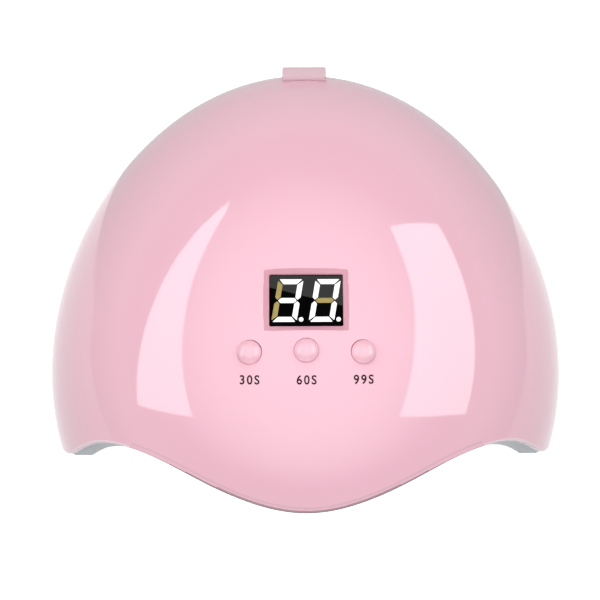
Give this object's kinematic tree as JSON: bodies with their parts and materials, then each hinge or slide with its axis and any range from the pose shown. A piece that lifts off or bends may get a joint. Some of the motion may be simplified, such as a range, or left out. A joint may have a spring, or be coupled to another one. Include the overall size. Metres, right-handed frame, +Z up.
{
  "type": "uv led nail lamp",
  "caption": "Domed UV LED nail lamp with a wide hand opening, reflector bowl, LED beads, digital display and sprung push buttons.",
  "frame": {"origin": "on the table, under the centre of the lamp's bounding box", "axes": "+Z up, -Y out of the hand opening, +Y towards the power socket, +X to the right as seen from the front"},
  "size_m": [0.172, 0.1775, 0.08],
  "materials": {
    "shell_pink": "glossy moulded ABS, pale pink",
    "button_pink": "glossy moulded cap, pale pink",
    "liner_grey": "silver-grey reflector plastic",
    "display_black": "glossy black display face",
    "board_green": "solder mask",
    "plastic_black": "matt black plastic",
    "plastic_white": "matt white plastic",
    "led_yellow": "clear lens over a yellow phosphor",
    "steel": "plated steel",
    "rubber_grey": "soft rubber",
    "wire_red": "wire insulation",
    "wire_black": "wire insulation",
    "wire_white": "wire insulation"
  },
  "bodies": {
    "case": {"outer_shell": "shell_pink", "inner_liner": "liner_grey", "display_module": "display_black", "display_header_front": "plastic_black", "display_header_rear": "plastic_black", "control_board": "board_green", "board_screw_left": "steel", "board_screw_right": "steel", "mcu_chip": "plastic_black", "power_mosfet": "plastic_black", "filter_capacitor": "plastic_black", "power_connector": "plastic_white", "tact_switch_left": "plastic_black", "tact_switch_middle": "plastic_black", "tact_switch_right": "plastic_black", "led_strip_lower": "plastic_white", "led_strip_upper": "plastic_white", "led_strip_top": "plastic_white", "led_01": "led_yellow", "led_02": "led_yellow", "led_03": "led_yellow", "led_04": "led_yellow", "led_05": "led_yellow", "led_06": "led_yellow", "led_07": "led_yellow", "led_08": "led_yellow", "led_09": "led_yellow", "led_10": "led_yellow", "led_11": "led_yellow", "led_12": "led_yellow", "led_13": "led_yellow", "led_14": "led_yellow", "led_15": "led_yellow", "led_16": "led_yellow", "led_17": "led_yellow", "led_18": "led_yellow", "dc_jack": "plastic_black", "dc_jack_pin": "steel", "power_wire_positive": "wire_red", "power_wire_negative": "wire_black", "led_wire_left": "wire_white", "led_wire_right": "wire_white", "case_screw_1": "steel", "case_screw_2": "steel", "case_screw_3": "steel", "case_screw_4": "steel", "foot_1": "rubber_grey", "foot_2": "rubber_grey", "foot_3": "rubber_grey", "foot_4": "rubber_grey"},
    "left_button": {"button_left": "button_pink"},
    "middle_button": {"button_middle": "button_pink"},
    "right_button": {"button_right": "button_pink"},
    "left_plunger": {"switch_plunger_left": "plastic_white"},
    "middle_plunger": {"switch_plunger_middle": "plastic_white"},
    "right_plunger": {"switch_plunger_right": "plastic_white"}
  },
  "joints": [
    {"name": "left_button_press", "type": "slide", "parent": "case", "child": "left_button", "axis": [0, 0.1045, -0.9945], "range_m": [0, 0.00035], "stiffness_N_per_m": 500},
    {"name": "middle_button_press", "type": "slide", "parent": "case", "child": "middle_button", "axis": [0, 0.1045, -0.9945], "range_m": [0, 0.00035], "stiffness_N_per_m": 500},
    {"name": "right_button_press", "type": "slide", "parent": "case", "child": "right_button", "axis": [0, 0.1045, -0.9945], "range_m": [0, 0.00035], "stiffness_N_per_m": 500},
    {"name": "left_plunger_press", "type": "slide", "parent": "case", "child": "left_plunger", "axis": [0, 0.1045, -0.9945], "range_m": [0, 0.00035]},
    {"name": "middle_plunger_press", "type": "slide", "parent": "case", "child": "middle_plunger", "axis": [0, 0.1045, -0.9945], "range_m": [0, 0.00035]},
    {"name": "right_plunger_press", "type": "slide", "parent": "case", "child": "right_plunger", "axis": [0, 0.1045, -0.9945], "range_m": [0, 0.00035]}
  ],
  "couplings": [
    {"joint": "left_plunger_press", "follows": "left_button_press", "ratio": 1},
    {"joint": "middle_plunger_press", "follows": "middle_button_press", "ratio": 1},
    {"joint": "right_plunger_press", "follows": "right_button_press", "ratio": 1}
  ]
}
